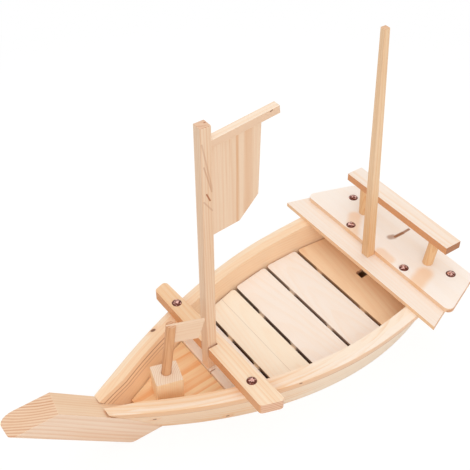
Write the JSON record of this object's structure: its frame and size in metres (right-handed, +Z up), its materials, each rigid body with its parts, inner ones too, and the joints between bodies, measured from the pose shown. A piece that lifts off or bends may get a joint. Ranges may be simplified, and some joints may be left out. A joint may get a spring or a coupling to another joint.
{
  "type": "wooden snack boat",
  "caption": "Pine serving platter in the shape of a sailing boat, with a slatted deck, mast, wooden sail, rear mast and railed stern.",
  "frame": {"origin": "on the table, under the middle of the boat's length and breadth", "axes": "+X towards the bow, +Y to port, +Z up"},
  "size_m": [0.6, 0.2952, 0.4374],
  "materials": {
    "pine_hull": "sanded, unvarnished",
    "pine_trim": "sanded, unvarnished",
    "pine_deck": "sanded, unvarnished",
    "pine_stem": "sanded, unvarnished",
    "pine_spar": "sanded, unvarnished",
    "pine_sail": "sanded, unvarnished",
    "pine_dark": "sanded, unvarnished",
    "copper_nail": "dark polished copper"
  },
  "bodies": {
    "root": {"stem": "pine_stem", "side_plank_port": "pine_hull", "side_plank_starboard": "pine_hull", "rub_strip_port": "pine_trim", "rub_strip_starboard": "pine_trim", "bottom_board": "pine_hull", "transom": "pine_hull", "bulkhead": "pine_hull", "bow_floor": "pine_deck", "batten_port": "pine_deck", "batten_starboard": "pine_deck", "slat_1": "pine_deck", "slat_2": "pine_deck", "slat_3": "pine_deck", "slat_4": "pine_deck", "slat_5": "pine_deck", "beam": "pine_trim", "mast": "pine_spar", "yard": "pine_spar", "sail": "pine_sail", "flag_block": "pine_stem", "flag_dowel": "pine_dark", "flag": "pine_sail", "stern_plank": "pine_trim", "stern_board": "pine_deck", "rear_mast": "pine_spar", "rail_post_port": "pine_spar", "rail_post_starboard": "pine_spar", "rail": "pine_trim", "beam_nails": "copper_nail", "stern_nails": "copper_nail"}
  },
  "joints": []
}
